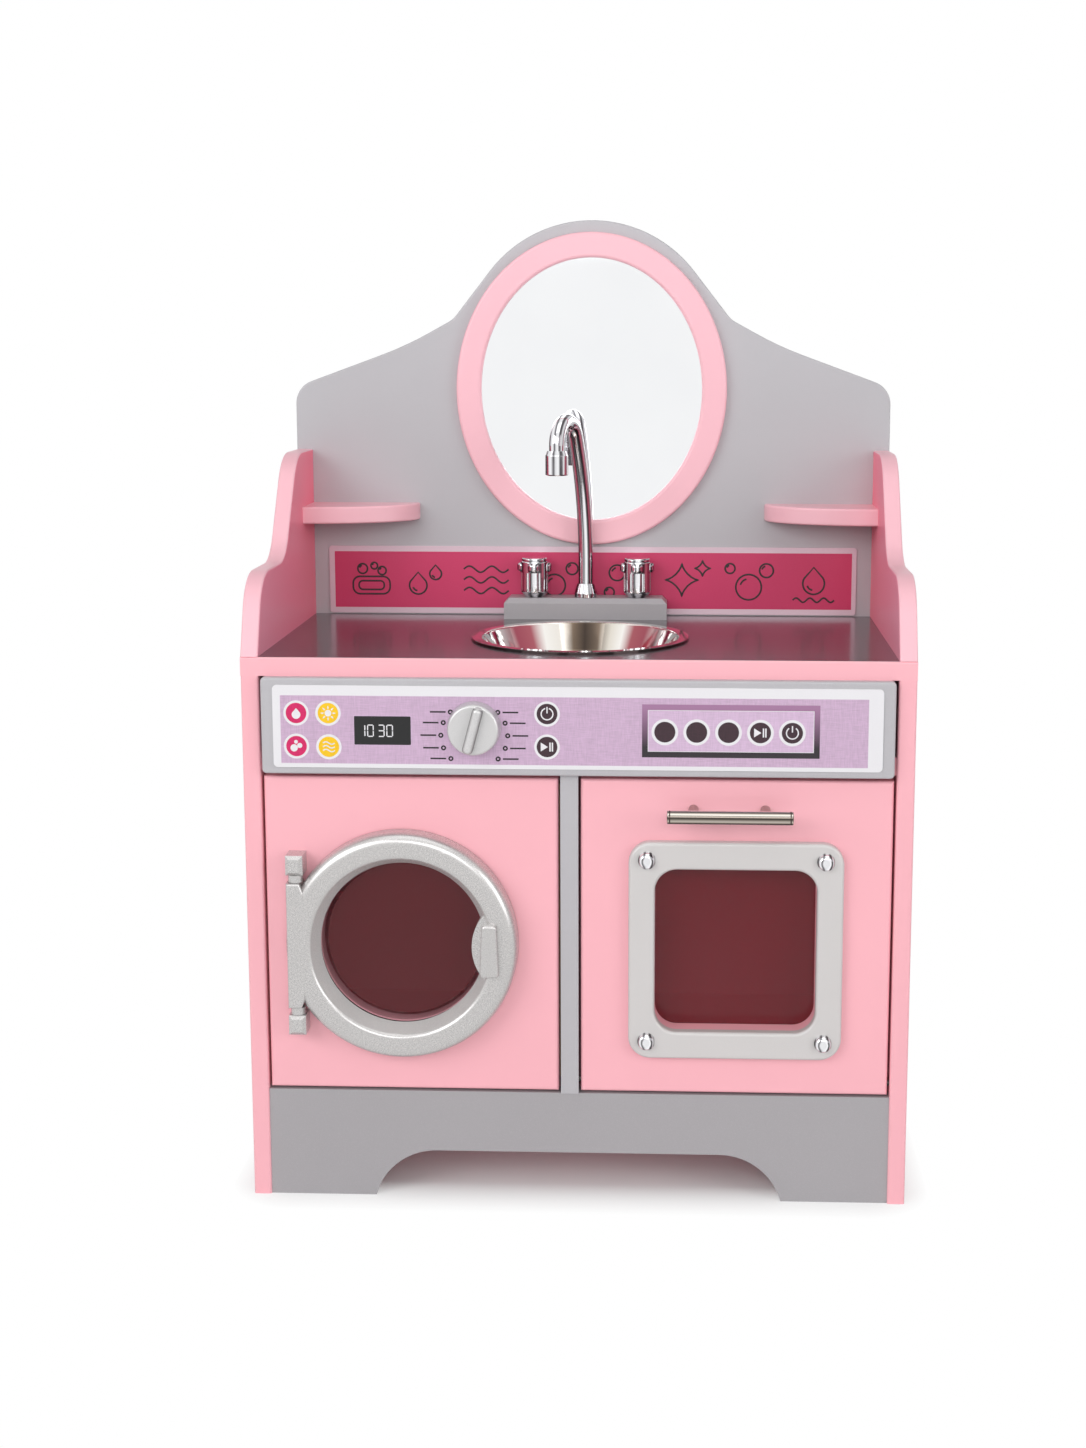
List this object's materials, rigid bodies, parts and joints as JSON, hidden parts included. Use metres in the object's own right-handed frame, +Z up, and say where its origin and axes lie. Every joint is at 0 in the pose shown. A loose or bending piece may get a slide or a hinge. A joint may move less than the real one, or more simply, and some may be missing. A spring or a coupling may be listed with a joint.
{
  "type": "play kitchen with washer",
  "caption": "Free-standing wooden play kitchen with sink, swivel tap and oval mirror above a porthole washer and a drop-front oven.",
  "frame": {"origin": "on the floor, below the middle of the whole object's box", "axes": "+Z up, +Y to the back, +X to the right as seen from the front"},
  "size_m": [0.6, 0.334, 0.8999],
  "materials": {
    "pink_paint": "satin pink paint on board",
    "grey_paint": "satin silver-grey paint on board",
    "raw_wood": "bare wood",
    "hardboard": "thin board painted grey",
    "mirror": "acrylic mirror",
    "splash_print": "glossy print",
    "control_print": "glossy print",
    "silver_plastic": "silver-painted moulding",
    "frame_plastic": "light grey moulding",
    "clear_plastic": "clear acrylic",
    "black_plastic": "matt",
    "nylon": "matt",
    "chrome": "polished",
    "steel": "brushed",
    "zinc": "zinc plated"
  },
  "bodies": {
    "cabinet": {"left_side_panel": "pink_paint", "right_side_panel": "pink_paint", "base_board": "pink_paint", "mid_board": "pink_paint", "divider_panel": "grey_paint", "kick_board": "grey_paint", "kick_cleats": "raw_wood", "countertop": "grey_paint", "front_rail": "pink_paint", "left_wing": "pink_paint", "right_wing": "pink_paint", "left_shelf": "pink_paint", "right_shelf": "pink_paint", "back_panel": "grey_paint", "lower_back_panel": "hardboard", "mirror_frame": "pink_paint", "mirror_glass": "mirror", "splash_strip": "splash_print", "control_panel": "grey_paint", "control_fascia": "control_print", "washer_front_panel": "pink_paint", "washer_panel_cleats": "raw_wood", "washer_hinge_brackets": "silver_plastic", "washer_hinge_pins": "zinc", "washer_catch_magnet": "zinc", "carcass_dowels": "raw_wood", "side_bolts": "zinc", "back_screws": "zinc", "oven_pivot_pins": "zinc", "oven_catch_magnet": "black_plastic", "sink_bowl": "steel", "faucet_block": "grey_paint"},
    "washer_door": {"washer_door_ring": "silver_plastic", "washer_window": "clear_plastic", "washer_window_retainer": "black_plastic", "washer_door_grip": "silver_plastic", "washer_hinge_washers": "silver_plastic", "washer_strike_disc": "zinc"},
    "oven_door": {"oven_door_panel": "pink_paint", "oven_window_frame": "frame_plastic", "oven_window_pane": "clear_plastic", "oven_frame_studs": "chrome", "oven_pane_screws": "zinc", "oven_handle_bar": "steel", "oven_handle_posts": "steel", "oven_handle_screws": "zinc", "oven_strike_plate": "zinc", "oven_pivot_bushes": "nylon"},
    "program_dial": {"dial_knob": "silver_plastic", "dial_spindle": "zinc"},
    "spout": {"spout_tube": "chrome", "spout_collar": "chrome", "spout_nozzle": "chrome", "spout_stem": "zinc"},
    "left_tap": {"left_tap_handle": "chrome", "left_tap_spindle": "zinc"},
    "right_tap": {"right_tap_handle": "chrome", "right_tap_spindle": "zinc"}
  },
  "joints": [
    {"name": "washer_door_swing", "type": "hinge", "parent": "cabinet", "child": "washer_door", "pos_m": [-0.2525, -0.145, 0.244], "axis": [0, 0, -1], "range_deg": [0, 110]},
    {"name": "oven_door_drop", "type": "hinge", "parent": "cabinet", "child": "oven_door", "pos_m": [0.1425, -0.125, 0.1135], "axis": [1, 0, 0], "range_deg": [0, 90]},
    {"name": "dial_turn", "type": "hinge", "parent": "cabinet", "child": "program_dial", "pos_m": [-0.0905, -0.1425, 0.4435], "axis": [0, -1, 0], "continuous": true},
    {"name": "spout_swivel", "type": "hinge", "parent": "cabinet", "child": "spout", "pos_m": [-0.005, 0.1355, 0.525], "axis": [0, 0, 1], "range_deg": [-38.6, 81.4]},
    {"name": "left_tap_turn", "type": "hinge", "parent": "cabinet", "child": "left_tap", "pos_m": [-0.057, 0.1355, 0.525], "axis": [0, 0, 1], "continuous": true},
    {"name": "right_tap_turn", "type": "hinge", "parent": "cabinet", "child": "right_tap", "pos_m": [0.047, 0.1355, 0.525], "axis": [0, 0, 1], "continuous": true}
  ]
}
